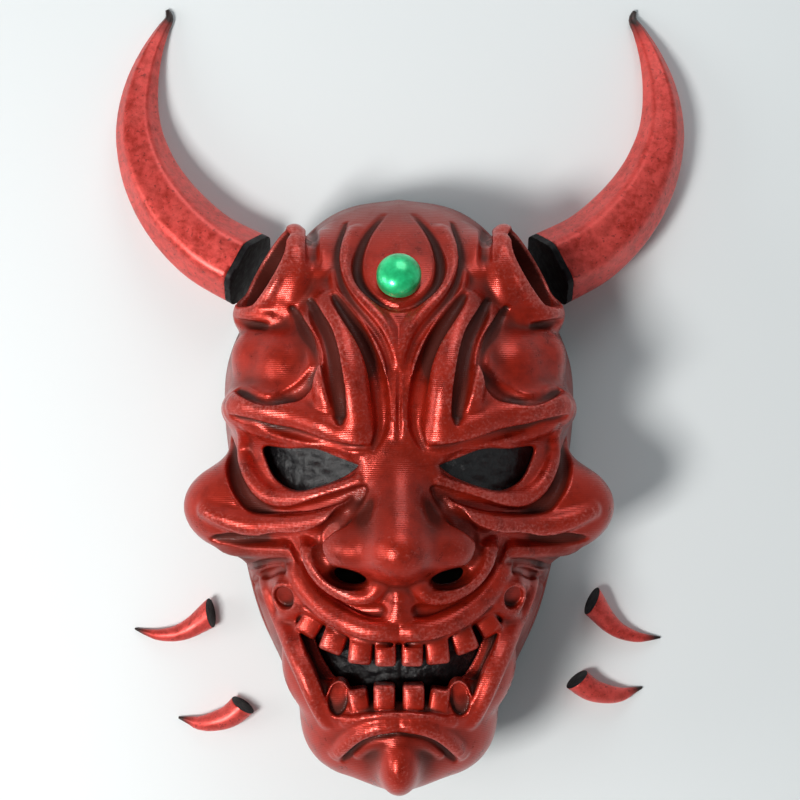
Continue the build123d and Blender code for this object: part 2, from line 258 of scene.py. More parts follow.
    def trace(self, points, width, height, taper=0.35):
        """Middle line and radii of a rod that shows as a ridge of the given half width and height
        where it lies on the surface, or as a groove where the height is below zero. taper is the
        share of the size left at the two ends."""
        path = curve_through(points)
        where, normal = self.settle(path)
        where, normal = steadied(where), steadied(normal)
        normal /= np.linalg.norm(normal, axis=1, keepdims=True)
        share = np.sin(np.pi * np.linspace(0, 1, len(path))) ** 0.5
        share = taper + (1 - taper) * share
        deep = abs(height) * share
        half = np.maximum(width * (STROKE_END_WIDTH + (1 - STROKE_END_WIDTH) * share), deep)
        radius = (half ** 2 + deep ** 2) / (2 * deep)
        side = 1 if height > 0 else -1
        return where - side * normal * (radius - deep)[:, None], radius

    def stroke(self, points, width, height):
        """A soft-edged ridge or a crisper groove along the surface."""
        centres, radius = self.trace(points, width, height)
        self.rod(centres, radius, RIDGE_BLEND if height > 0 else GROOVE_BLEND, cut=height < 0)


# ------------ the mask's forms
def rim_reach(angle_grid):
    """How far the rim is from the dome's centre in each direction of the plan."""
    pts = curve_through(RIM_HALF, 1.0)
    left = pts[::-1] * (-1, 1)
    ring = np.vstack((pts, left))
    ring = ring - (0, DOME_CENTRE_Y)
    angle = np.arctan2(ring[:, 1], ring[:, 0])
    order = np.argsort(angle)
    angle, reach = angle[order], np.linalg.norm(ring, axis=1)[order]
    return np.interp(angle_grid, angle, reach, period=2 * np.pi)


def dome_field(clay, inset):
    """Distance to the plain dome, drawn in by inset."""
    x, y = clay.x[:, :, 0], clay.y[:, :, 0] - DOME_CENTRE_Y
    reach = rim_reach(np.arctan2(y, x)) - inset
    share = np.hypot(x, y) / reach
    tall = np.clip(clay.z, 0, None) / (DOME_HEIGHT - inset)
    level = (share[:, :, None] ** DOME_SQUARENESS + tall ** DOME_ROUNDNESS).astype(np.float32)
    level = np.maximum(level, LEAST_LEVEL) ** np.float32(1 / DOME_EVENNESS) - 1
    gx, gy, gz = np.gradient(level, VOXEL)
    slope = np.sqrt(gx ** 2 + gy ** 2 + gz ** 2)
    return (level / np.maximum(slope, LEAST_SLOPE)).astype(np.float32)


def outline_field(clay, outline):
    """Distance in plan to a closed outline: negative inside."""
    x = clay.x[:, :, 0]
    y = clay.y[:, :, 0]
    ring = closed_curve(outline, OUTLINE_STEP)
    distance = np.full((x.shape[0], y.shape[1]), FAR)
    inside = np.zeros(distance.shape, bool)
    for a, b in zip(ring, ring[1:]):
        d = b - a
        along = np.clip(((x - a[0]) * d[0] + (y - a[1]) * d[1]) / (d @ d + TINY), 0, 1)
        distance = np.minimum(distance, np.hypot(x - a[0] - along * d[0], y - a[1] - along * d[1]))
        crossing = (a[1] > y) != (b[1] > y)
        across = a[0] + (y - a[1]) * d[0] / (d[1] if abs(d[1]) > TINY else TINY)
        inside ^= crossing & (x < across)
    return np.where(inside, -distance, distance).astype(np.float32)[:, :, None]


def oval_prism(clay, centre, axes, wide, high, back, front, rounding=0.0):
    """Window and distance of a prism of oval section, from back below its centre to front above
    it, with its edges rounded."""
    reach = max(wide, high) + abs(back) + abs(front) + PRISM_MARGIN
    cuts = clay.window(np.subtract(centre, reach), np.add(centre, reach))
    x, y, z = clay.coordinates(cuts)
    out, level, up = axes
    x, y, z = x - centre[0], y - centre[1], z - centre[2]
    h = x * out[0] + y * out[1] + z * out[2]
    u = (x * level[0] + y * level[1] + z * level[2]) / wide
    v = (x * up[0] + y * up[1] + z * up[2]) / high
    radial = (np.sqrt(u ** 2 + v ** 2) - 1) * min(wide, high) + rounding
    axial = np.maximum(h - front, -back - h) + rounding
    outside = np.hypot(np.maximum(radial, 0), np.maximum(axial, 0))
    shape = outside + np.minimum(np.maximum(radial, axial), 0) - rounding
    return cuts, shape.astype(np.float32)


TOOTH_HALF_DEPTH = 7.0
TOOTH_ROUNDING = 1.3
TOOTH_BULGE = (0.035, 0.6)  # how fast a tooth falls off across, and its share along
TOOTH_BLEND = 0.7
TOOTH_REACH = 9.0
TOOTH_HEADROOM = 4.0


def tooth(clay, x, y, half_width, half_height, turn, top):
    """A bulging rounded block."""
    cuts = clay.window((x - TOOTH_REACH, y - TOOTH_REACH, top - 2 * TOOTH_REACH),
                       (x + TOOTH_REACH, y + TOOTH_REACH, top + TOOTH_HEADROOM))
    gx, gy, gz = clay.coordinates(cuts)
    px, py = turned(gx - x, gy - y, -turn)
    pz = gz - (top - TOOTH_HALF_DEPTH)
    across, along_share = TOOTH_BULGE
    bulge = across * (px ** 2 + along_share * py ** 2)
    halves = ((px, half_width), (py, half_height), (pz + bulge, TOOTH_HALF_DEPTH))
    q = [np.abs(place) - half + TOOTH_ROUNDING for place, half in halves]
    outside = np.sqrt(sum(np.maximum(a, 0) ** 2 for a in q))
    inside = np.minimum(np.maximum(np.maximum(q[0], q[1]), q[2]), 0)
    clay.merge(cuts, (outside + inside - TOOTH_ROUNDING).astype(np.float32), TOOTH_BLEND, False)


# Every stroke is (points, half width, height), a groove where the height is below zero. Points are
# (x, y) on the +X half of the face. Ridges go on before the grooves that part them.
BROW_RIDGES = (
    (((63, -1), (57, -1.6), (46.6, -3.6), (36.5, -5.8), (28, -9), (20, -12), (12, -13)), 5.4, 4.2),
    (((14.6, -9), (15.6, -1), (16.8, 7), (18.8, 16), (21.6, 24.7), (25, 32), (28, 38)), 7.0, 5.6),
    (((27.4, 0), (27.8, 5), (28.2, 10), (29, 17), (30.6, 23), (33, 28), (35.6, 32)), 3.8, 3.4),
    (((56, -10.4), (48, -12.6), (40, -13.4), (31, -14)), 2.0, 1.2),
    (((64, 34), (58, 33.5), (52, 31.5), (46, 31)), 2.6, 1.8),
    (((36.5, 58), (36.7, 50.5), (38, 43.5), (41.7, 36.6)), 4.0, 2.0),
)
FOREHEAD_RIDGES = (
    (((17, 65), (20, 56), (20.4, 48), (17.5, 41), (12, 35.3), (6.5, 29.6), (2.6, 23),
      (0.5, 15)), 2.9, 3.0),
    (((24, 47), (22, 40.5), (17.5, 35.3), (12, 28.4), (8, 21.5), (5.2, 14), (4.4, 4),
      (4.2, -6)), 2.4, 2.4),
    (((28, 66), (29, 56), (29, 47)), 3.4, 1.4),
    (((1.5, 8), (1.6, -2), (1.4, -12)), 1.0, 1.0),
)
FOREHEAD_GROOVES = (
    (((20.5, 68), (22.9, 57), (22.8, 46.5), (18.9, 38.2), (13.4, 31.6), (8.3, 25.3), (4.2, 17),
      (2.6, 8), (2.7, -6)), 1.2, -1.9),
    (((5.9, 71), (11.6, 63.5), (15.2, 54), (15.4, 46.5), (12.6, 40.8), (7.5, 36.3), (3, 34.3),
      (0, 33.8)), 1.5, -1.9),
    (((24, 39), (18.8, 31.2), (15.2, 25), (11.8, 18.5), (9, 12), (7, 4), (6, -4), (6.6, -12),
      (9, -17)), 1.8, -3.4),
    (((33.5, 66), (33, 59), (32, 52)), 2.5, -1.8),
    (((0, 10), (0, -12)), 0.8, -0.8),
)
BROW_GROOVES = (
    (((33, 37), (30, 30.2), (27, 24.5), (25, 17), (23.8, 10), (22, 0), (21.2, -7.5)), 1.4, -4.0),
    (((40, 34.5), (36, 27), (33, 21), (31.6, 15), (32.4, 8.8), (37.3, 3.2), (46.6, 0.8), (54, 2),
      (60, 4.5)), 1.5, -3.6),
    (((62, 30.5), (56, 29), (50, 28.2)), 1.4, -1.6),
    (((62, -6), (55, -7.4), (46.6, -9.4), (36.5, -12.2), (27.2, -15.2), (19, -17),
      (11, -17)), 1.3, -2.4),
)
EYE = (
    (((58.5, -12), (57.5, -22), (53.6, -31), (46.8, -35.8), (40, -36.4), (29.9, -34.6), (22, -32),
      (15, -29)), 2.4, 3.6),
    (((64, -15), (61.4, -28), (55, -38), (47, -42), (40, -42), (29.9, -38.6), (19.7, -35.2),
      (12.6, -32)), 1.9, -3.8),
)
CHEEK = (
    (((73, -41), (63, -44.6), (52, -46.4), (40, -46), (29.9, -44.2), (20.5, -41),
      (16, -37.4)), 3.4, 4.6),
    (((70, -52), (58, -52), (48, -51.4), (40, -50.8), (32, -50.4), (26.8, -47.4),
      (21.8, -43.2)), 1.7, -4.0),
    (((66, -57), (58, -56.6), (50, -56), (44, -56)), 2.4, 1.6),
    (((60, -64), (50.5, -61), (44.6, -59.8), (40, -59.4)), 1.5, -1.6),
    (((56.5, -71), (50.8, -65.6), (45, -63.4), (40.5, -63)), 1.5, -2.0),
    (((51, -73), (47, -68.6), (43.5, -67.6)), 1.3, 1.2),
)
NOSE = (
    (((34.4, -52), (31.8, -59), (27, -64.8), (20.7, -69.2), (14.7, -72), (9.8, -71.4),
      (7.4, -67.5)), 3.4, 4.2),
    (((13, -32), (20.7, -42.2), (26.8, -49.3), (29.2, -54.3), (27, -60.4), (22.8, -64.6),
      (14.7, -67)), 1.5, -4.0),
    (((39, -50), (37.5, -56), (34.4, -64), (29.4, -69.8), (21.8, -75), (13.6, -77.2),
      (6.5, -76.4), (0, -78.4)), 1.4, -3.4),
)
# The lip's middle line, half width, height, and the share of its size left at its ends
LIP_RIDGE = (((39, -64.6), (34.8, -70.2), (30, -74.6), (24.8, -78), (16.7, -82.2), (7.8, -84),
              (2.6, -83.6)), 4.7, 3.2, 0.5)
LIP = (
    (((43, -61), (41, -66), (37, -73), (31, -79)), 1.2, -1.6),
)
TOOTH_LINE = (((34.6, -76.4), (27.6, -82), (17.8, -86.6), (8, -88.6), (0, -88.6)), 1.0, -1.6)
LIP_PARTING = (((0, -79.5, 87), (0, -83, 87.6), (0, -87, 86.5)), 1.4)
JAW = (
    (((51.5, -67), (48.7, -73.6), (45, -81), (40.3, -89.4), (36.1, -97.9), (33.2, -105),
      (30.6, -112), (27.6, -119)), 3.0, 3.6),
    (((57.5, -68), (54.4, -79), (50.4, -90)), 1.2, -1.4),
    (((59.8, -70), (56.6, -81), (53, -91)), 0.9, 0.8),
)
CHIN = (
    (((20, -118.6), (12, -115.6), (5, -114.4), (0, -114.2)), 0.9, 1.2),
    (((23.6, -132), (19, -126.6), (13.6, -122), (9.4, -120), (4.4, -119), (0, -119)), 2.7, 3.4),
    (((21, -134.6), (16.4, -129), (11.4, -124.8), (5.6, -122.8), (0, -122.2)), 1.2, -2.0),
    (((15.4, -131.4), (10.6, -127), (5.8, -124.4), (0, -123.7)), 0.7, 0.8),
)
# Fang seats, on the +X side: middle of the mouth, heading, rise, half width and half height, lip,
# depth, how softly it grows out of the face
FANG_SEATS = (
    ((42.5, -73.0, 64.5), -48.0, 52.0, 4.2, 4.8, 1.2, 1.5, 5.0),
    ((22.4, -110.0, 72.4), -84.0, 80.0, 3.6, 6.2, 0.8, 1.7, 1.5),
)
SEAT_BACK = 7.0

# Teeth on the +X side: x, y, half width, half height, turn in plan
UPPER_TEETH = (
    (4.9, -91.2, 3.9, 6.0, 0), (13.9, -90.4, 4.4, 6.2, 6), (23.3, -86.6, 4.5, 6.5, 22),
    (31.6, -80.8, 4.2, 7.0, 32),
)
LOWER_TEETH = ((5.4, -109.0, 4.0, 4.8, 0), (14.9, -110.4, 3.8, 4.4, -10))
UPPER_TOOTH_TOP = 81.0
LOWER_TOOTH_TOP = 77.5
ROW_FALL = 0.012  # how fast a row drops away from the middle line

# Big rounded forms, on the +X side, in the order they go on: middle, radii, softness
HEAD_FORMS = (
    ((56, -40, 44), (26, 18.5, 19), 12),  # cheekbone
    ((23, 2, 60), (15, 22, 27), 8),  # inner brow
    ((44, -3, 53), (23, 13, 24), 7),  # outer brow
    ((0, -97, 56), (44, 33, 27), 8),  # muzzle
    ((0, -118, 47), (34, 22, 27), 8),  # jaw
    ((14, -123, 44), (22.5, 20, 22), 6),  # corner of the jaw
    ((0, -130, 49), (20, 17.4, 18), 5),  # foot of the chin
    ((16, -4, 67), (8.5, 10, 12), 5),  # foot of the inner brow
    ((51, 17, 50), (12, 11, 13), 8),  # temple, outer
    ((42.6, 14, 59), (10.4, 11, 13.4), 6),  # temple ball
)
EYE_HOLLOW = ((34, -26, 84), (18, 9, 9), 5)
EYE_HOLLOW_TURN = -4.0
BRIDGE = (((0, -8, 72), (0, -24, 77), (0, -42, 85)), (6, 8.5, 12), 5)
BRIDGE_HOLLOW = ((16, -37, 92), (6, 11, 8.5), 4)
NOSE_TIP = ((0, -53.5, 84), (14.5, 13.5, 22), 7)
NOSE_WING = ((16.5, -53.5, 77), (12.5, 10, 16), 8)
NOSTRIL = ((18.8, -63.8, 80), (7.2, 3.4, 9), 2.5)
NOSTRIL_TURN = 10.0
SOCKET_FOLD = ((57, 33, 42), (6, 6, 9), 6)
SOCKET_RIM_TOP = ((40.2, 63.2, 46.6), (4, 4, 7), 2)
PHILTRUM = (((0, -66.5, 82.8), (0, -72, 80.2), (0, -77, 77.6)), (2.0, 4.4, 6.4), 2)
CHIN_BALL = ((0, -134, 63), (8.6, 13, 15.5), 5)
EYE_CUT = (30.0, 1.0)  # level above which an eye is cut through, and softness
MOUTH_CUT = (60.0, 1.5)
GUMS = (
    ((0, -84.5, 72), (17, -82.5, 70), (30, -75.5, 67), (37, -75.5, 62), (40, -79, 57)),
    ((0, -116.6, 69.6), (14, -115.6, 68.6), (26, -109, 64)),
)
GUM_RADIUS = 5.4
SEAT_MOUTH = 12.0  # how far out a fang's seat is cut clear
GUM_BLEND = 2.0
LIP_BLEND = 0.9
PARTING_BLEND = 0.8
CUT_BLEND = 0.6
GEM_SEAT_BLEND = 0.4
BACKING_BLEND = 1.0


def face_forms(clay):
    """The big rounded forms of the face."""
    for form in HEAD_FORMS:
        clay.ball(*form)
    clay.ball(*EYE_HOLLOW, cut=True, turn=EYE_HOLLOW_TURN)
    clay.rod(*BRIDGE)
    clay.ball(*BRIDGE_HOLLOW, cut=True)
    clay.ball(*NOSE_TIP)
    clay.ball(*NOSE_WING)


def heading(angle, rise):
    """The direction at an angle in plan that rises by another, in degrees."""
    a, r = math.radians(angle), math.radians(rise)
    return np.array((math.cos(a) * math.cos(r), math.sin(a) * math.cos(r), math.sin(r)))


def seat_axes(angle, rise):
    """Outward, level and upward directions of a seat or socket."""
    a = math.radians(angle)
    out = heading(angle, rise)
    level = np.array((-math.sin(a), math.cos(a), 0))
    return out, level, np.cross(out, level)


def mirrored(half):
    """A closed outline from its +X half, which starts and ends on the middle line."""
    return list(half) + [(-x, y) for x, y in half[-2:0:-1]]


def cut_through(clay, outline, level, soft):
    """Cuts the shell through inside an outline, from a level up."""
    hole = np.maximum(outline_field(clay, outline), level - clay.z)
    clay.field = -smooth_least(-clay.field, hole, soft)


def gums_and_teeth(clay):
    """Two gums, with a row of teeth on each."""
    for half in GUMS:
        bar = curve_through(half)
        clay.rod(bar, np.full(len(bar), GUM_RADIUS), soft=GUM_BLEND)
    for row, top in ((UPPER_TEETH, UPPER_TOOTH_TOP), (LOWER_TEETH, LOWER_TOOTH_TOP)):
        for x, y, half_width, half_height, turn in row:
            tooth(clay, x, y, half_width, half_height, turn, top - ROW_FALL * x * x)


def fang_seats(clay):
    """A shallow oval cup in a soft boss for the base of each fang."""
    for centre, angle, rise, wide, high, lip_width, depth, soft in FANG_SEATS:
        axes = seat_axes(angle, rise)
        cuts, boss = oval_prism(clay, centre, axes, wide + lip_width, high + lip_width, SEAT_BACK, 0)
        clay.merge(cuts, boss, soft, False)
        cuts, pocket = oval_prism(clay, centre, axes, wide, high, depth, SEAT_MOUTH)
        clay.merge(cuts, pocket, CUT_BLEND, True)


def mouth_forms(clay):
    """The mouth cut through the shell, with gums, teeth, fang seats and the lip over them."""
    lip, lip_radius = clay.trace(*LIP_RIDGE)
    cut_through(clay, mirrored(MOUTH_HALF), *MOUTH_CUT)
    gums_and_teeth(clay)
    fang_seats(clay)
    clay.rod(lip, lip_radius, soft=LIP_BLEND)
    parting, parting_radius = LIP_PARTING
    clay.rod(parting, np.full(len(parting), parting_radius), soft=PARTING_BLEND, cut=True)
    clay.stroke(*TOOTH_LINE)


def socket_rim(clay, axes):
    """The soft boss round a horn's socket, with the fold below it and the top of its rim."""
    wider, higher = SOCKET_RIM
    cuts, boss = oval_prism(clay, SOCKET_CENTRE, axes, SOCKET_WIDE + wider, SOCKET_HIGH + higher,
                            SOCKET_RIM_BACK, SOCKET_RIM_FRONT, SOCKET_RIM_ROUNDING)
    clay.merge(cuts, boss, SOCKET_RIM_BLEND, False)
    clay.ball(*SOCKET_FOLD)
    clay.ball(*SOCKET_RIM_TOP)


def socket_pocket(clay, axes):
    """A horn's socket: an oval cup whose floor is stepped down in the middle."""
    for step, depth, soft in ((0, SOCKET_DEPTH - SOCKET_FLOOR, 2 * CUT_BLEND),
                              (SOCKET_STEP, SOCKET_DEPTH - SOCKET_SKIN, CUT_BLEND)):
        cuts, pocket = oval_prism(clay, SOCKET_CENTRE, axes, SOCKET_WIDE - step, SOCKET_HIGH - step,
                                  depth, SOCKET_MOUTH)
        clay.merge(cuts, pocket, soft, True)


def gem_seat(clay):
    """The round cup that the stone on the forehead sits in."""
    tilt = math.radians(GEM_TILT)
    axes = (np.array((0, math.sin(tilt), math.cos(tilt))), np.array((1.0, 0, 0)),
            np.array((0, math.cos(tilt), -math.sin(tilt))))
    gap, depth, mouth = GEM_SEAT
    cuts, seat = oval_prism(clay, GEM_CENTRE, axes, GEM_RADIUS + gap, GEM_RADIUS + gap, depth, mouth)
    clay.merge(cuts, seat, GEM_SEAT_BLEND, True)


def hollow_out(clay, axes):
    """Takes the inside away, all but the backing of the sockets, and cuts the rim flat."""
    wall, back = SOCKET_BACKING
    cavity = dome_field(clay, WALL)
    cuts, boss = oval_prism(clay, SOCKET_CENTRE, axes, SOCKET_WIDE + wall, SOCKET_HIGH + wall, back, 0)
    cavity[cuts] = -smooth_least(-cavity[cuts], -boss, BACKING_BLEND)
    clay.field = np.maximum(clay.field, -cavity)
    clay.field = np.maximum(clay.field, -clay.z)


def sculpt_mask():
    """The whole face as clay, from the big forms down to the strokes, then hollowed."""
    clay = Clay()
    clay.field = dome_field(clay, 0)
    face_forms(clay)
    axes = seat_axes(SOCKET_HEADING, SOCKET_RISE)
    socket_rim(clay, axes)
    for group in (BROW_RIDGES, FOREHEAD_RIDGES, FOREHEAD_GROOVES, BROW_GROOVES, EYE, CHEEK, NOSE):
        for points, width, height in group:
            clay.stroke(points, width, height)
    clay.rod(*PHILTRUM)
    for points, width, height in LIP + JAW + CHIN:
        clay.stroke(points, width, height)
    clay.ball(*CHIN_BALL)
    clay.field = np.minimum(clay.field, dome_field(clay, WALL - THINNEST))
    clay.ball(*NOSTRIL, cut=True, turn=NOSTRIL_TURN)
    mouth_forms(clay)
    cut_through(clay, EYE_OUTLINE, *EYE_CUT)
    socket_pocket(clay, axes)
    gem_seat(clay)
    hollow_out(clay, axes)
    return clay


BLUR_PASSES = 2


def box_blur(field, radius):
    """A running mean along each axis, a few times over."""
    width = max(1, int(round(radius / VOXEL)))
    for axis in range(3):
        for _ in range(BLUR_PASSES):
            padded = np.concatenate((np.repeat(np.take(field, [0], axis), width + 1, axis), field,
                                     np.repeat(np.take(field, [-1], axis), width, axis)), axis)
            total = np.cumsum(padded, axis, dtype=np.float32)
            upper = np.take(total, range(2 * width + 1, total.shape[axis]), axis)
            lower = np.take(total, range(0, total.shape[axis] - 2 * width - 1), axis)
            field = (upper - lower) / (2 * width + 1)
    return field


def linked(name, data):
    """A new object in the scene."""
    made = bpy.data.objects.new(name, data)
    bpy.context.scene.collection.objects.link(made)
    return made


def to_mesh(name, points, faces):
    """A smooth-shaded object from points in the clay's frame."""
    mesh = bpy.data.meshes.new(name)
    mesh.from_pydata(((points + (0, LAYOUT_SHIFT, 0)) * MM).tolist(), [], faces)
    mesh.polygons.foreach_set("use_smooth", [True] * len(mesh.polygons))
    mesh.update()
    return linked(name, mesh)


# The brown on the mask's lower sides and inside the horn sockets is painted shade.
SIDE_LEVEL = 55.0  # the mask's sides are browned from this level down
SOCKET_SHADE = 0.22  # what is left clear of brown inside a horn's socket
SOCKET_EDGE = 1.03  # of the socket's half width
SOCKET_INNER = (-0.2, -SOCKET_DEPTH - 2)  # from just below its mouth to past its floor
# Brown painted shade sprayed on the +X side, in the nostrils, on and beside the nose, under the brow and
# cheeks and round the mouth: place, reach, strength
PAINTED_SHADE_SPOTS = (
    ((13, -38, 80), 9, 0.9), ((22, -44, 74), 8, 0.8), ((8, -19, 78), 6, 0.9), ((12, -26, 78), 6, 0.8),
    ((19, -64, 79), 7, 1.0), ((46, -12, 66), 6, 0.6), ((41, -75, 62), 7, 0.3), ((55, -57, 50), 10, 0.8),
    ((0, -38, 92), 10, 0.45), ((10, -44, 90), 9, 0.6), ((20, -53, 86), 8, 0.4), ((42, -60, 62), 8, 0.6),
    ((36, -92, 62), 7, 0.5), ((30, -58, 74), 6, 0.6), ((62, 5, 45), 9, 0.5), ((64, -50, 42), 11, 0.6),
    ((0, -22, 84), 8, 0.4), ((24, -84, 74), 5, 0.3), ((48, -95, 40), 12, 0.5), ((0, 74, 45), 14, 0.35),
    ((22, 40, 74), 8, 0.35), ((34, 36, 68), 7, 0.5),
)


def painted_shade(points):
    """How much brown painted shade lies on each point: the sprayed spots, the lower sides, and the
    insides of the horn sockets.
    """
    points = np.abs(points) * (1, 0, 0) + points * (0, 1, 1)
    clear = np.ones(len(points))
    for centre, reach, strength in PAINTED_SHADE_SPOTS:
        away = np.linalg.norm(points - centre, axis=1) / reach
        clear *= 1 - strength * np.exp(-away ** 2)
    clear *= 1 - np.clip((SIDE_LEVEL - points[:, 2]) / SIDE_LEVEL, 0, 1)
    out, level, up = seat_axes(SOCKET_HEADING, SOCKET_RISE)
    local = points - SOCKET_CENTRE
    radial = np.hypot(local @ level / SOCKET_WIDE, local @ up / SOCKET_HIGH)
    top, bottom = SOCKET_INNER
    inside = (radial < SOCKET_EDGE) & (local @ out < top) & (local @ out > bottom)
    clear[inside] *= SOCKET_SHADE
    return 1 - clear


MESH_BAND = 4.0  # distances to the surface are held within this for the mesh
BLUR_BAND = 8.0
CREASE_REACH = 1.6  # how wide around a point the finer and the broader form are judged
HOLLOW_REACH = 4.5


def mask_piece():
    """The sculpted face as a mesh. Three numbers at each point say how far it lies in a crease or on a
    ridge, in a hollow or on a swell, and how much brown painted shade is sprayed on it."""
    clay = sculpt_mask()
    whole = np.concatenate((clay.field[:0:-1], clay.field), axis=0)
    whole = np.clip(whole, -MESH_BAND, MESH_BAND)
    grid = openvdb.FloatGrid(background=MESH_BAND)
    grid.copyFromArray(np.ascontiguousarray(whole))
    points, tris, quads = grid.convertToPolygons(isovalue=0.0, adaptivity=0.0)
    origin = np.array((-(clay.field.shape[0] - 1) * VOXEL, CLAY_LOW[1], CLAY_LOW[2]))
    points = points.astype(float) * VOXEL + origin
    hollow = np.zeros((len(points), 2))
    for k, radius in enumerate((CREASE_REACH, HOLLOW_REACH)):
        blurred = box_blur(np.clip(clay.field, -BLUR_BAND, BLUR_BAND), radius)
        hollow[:, k] = -clay.interpolate(points, blurred) / radius
    piece = to_mesh("mask_face", points, quads.tolist() + tris.tolist())
    hollow = np.column_stack((hollow, painted_shade(points)))
    for k, label in enumerate(("crease", "hollow", "painted_shade")):
        layer = piece.data.attributes.new(label, "FLOAT", "POINT")
        layer.data.foreach_set("value", hollow[:, k])
    return piece


# ------------ materials
class Paint:
    """A node material with short helpers."""

    def __init__(self, name):
        self.material = bpy.data.materials.new(name)
        self.material.use_nodes = True
        self.nodes = self.material.node_tree.nodes
        self.links = self.material.node_tree.links
        self.shader = self.nodes["Principled BSDF"]
        self.place = self.nodes.new("ShaderNodeTexCoord").outputs["Object"]

    def feed(self, socket, value):
        """Links a socket or sets it, a colour with its alpha."""
        if isinstance(value, bpy.types.NodeSocket):
            self.links.new(value, socket)
        else:
            socket.default_value = (*value, 1.0) if isinstance(value, tuple) else value

    def node(self, kind, inputs, **settings):
        """A node with its inputs and its settings."""
        made = self.nodes.new(kind)
        for key, value in settings.items():
            setattr(made, key, value)
        for key, value in inputs.items():
            self.feed(made.inputs[key], value)
        return made

    def noise(self, scale, detail, roughness):
        """A cloudy pattern."""
        inputs = {"Vector": self.place, "Scale": scale, "Detail": detail, "Roughness": roughness}
        return self.node("ShaderNodeTexNoise", inputs).outputs["Fac"]

    def bands(self, axis, scale, detail, detail_scale):
        """Stripes across an axis, a little wavy."""
        inputs = {"Vector": self.place, "Scale": scale, "Distortion": 0.5, "Detail": detail,
                  "Detail Scale": detail_scale}
        return self.node("ShaderNodeTexWave", inputs, bands_direction=axis).outputs["Fac"]

    def attribute(self, name):
        """A number kept at the points of the mesh."""
        return self.node("ShaderNodeAttribute", {}, attribute_name=name).outputs["Fac"]

    def fit(self, value, low, high, to_low=0.0, to_high=1.0):
        """Maps low..high to to_low..to_high, and holds it there."""
        inputs = {"Value": value, "From Min": low, "From Max": high, "To Min": to_low, "To Max": to_high}
        return self.node("ShaderNodeMapRange", inputs).outputs["Result"]

    def combine(self, operation, a, b):
        """Sum, product or the like of two numbers."""
        return self.node("ShaderNodeMath", {0: a, 1: b}, operation=operation).outputs[0]

    def add(self, a, b):
        return self.combine("ADD", a, b)

    def mix(self, share, a, b):
        """Colour a going over to colour b by a share."""
        return self.node("ShaderNodeMix", {0: share, 6: a, 7: b}, data_type="RGBA").outputs[2]

    def bump(self, height, strength, distance, normal=None):
        """A bumped normal, on top of another if there is one."""
        inputs = {"Height": height, "Strength": strength, "Distance": distance}
        if normal:
            inputs["Normal"] = normal
        return self.node("ShaderNodeBump", inputs).outputs["Normal"]

    def set(self, **values):
        """Fills the shader's own inputs, and gives back the material."""
        for key, value in values.items():
            self.feed(self.shader.inputs[key.replace("_", " ")], value)
        return self.material


RED = (0.44, 0.022, 0.008)
DEEP_RED = (0.19, 0.009, 0.003)
# Pink for dry-brushed crests, which also stands for painted highlight.
PINK = (0.80, 0.22, 0.19)
# Brown and umber on the face: a wash in hollows and creases that also stands for painted shade; umber
# also marks the horns' specks and tips.
BROWN = (0.085, 0.0085, 0.0030)
UMBER = (0.020, 0.0050, 0.0024)
HORN_RED = (0.44, 0.024, 0.013)
HORN_PALE = (0.70, 0.062, 0.050)
HORN_BLOOM = (0.84, 0.13, 0.11)
BASE_BLACK = (0.002, 0.0015, 0.002)
BASE_GREY = (0.010, 0.006, 0.008)
GEM_DEEP = (0.0, 0.32, 0.09)
GEM_BRIGHT = (0.03, 0.85, 0.32)
KNIT_BLACK = (0.0015, 0.0015, 0.002)
KNIT_GREY = (0.010, 0.010, 0.012)
STEEL = (0.6, 0.6, 0.6)
TABLE_TOP = (0.79, 0.82, 0.83)
# Scales of the procedural textures, in repeats to the metre
BROAD = 24
HORN_BROAD = 45
FOLDS = 90
MOTTLE = 150
SWIRL = 160
HORN_MOTTLE = 300
BASE_GRAIN = 400
LAYER_LINES = 419
STIPPLE = 420
HORN_GRAIN = 500
SPECK = 700
GRAIN = 900


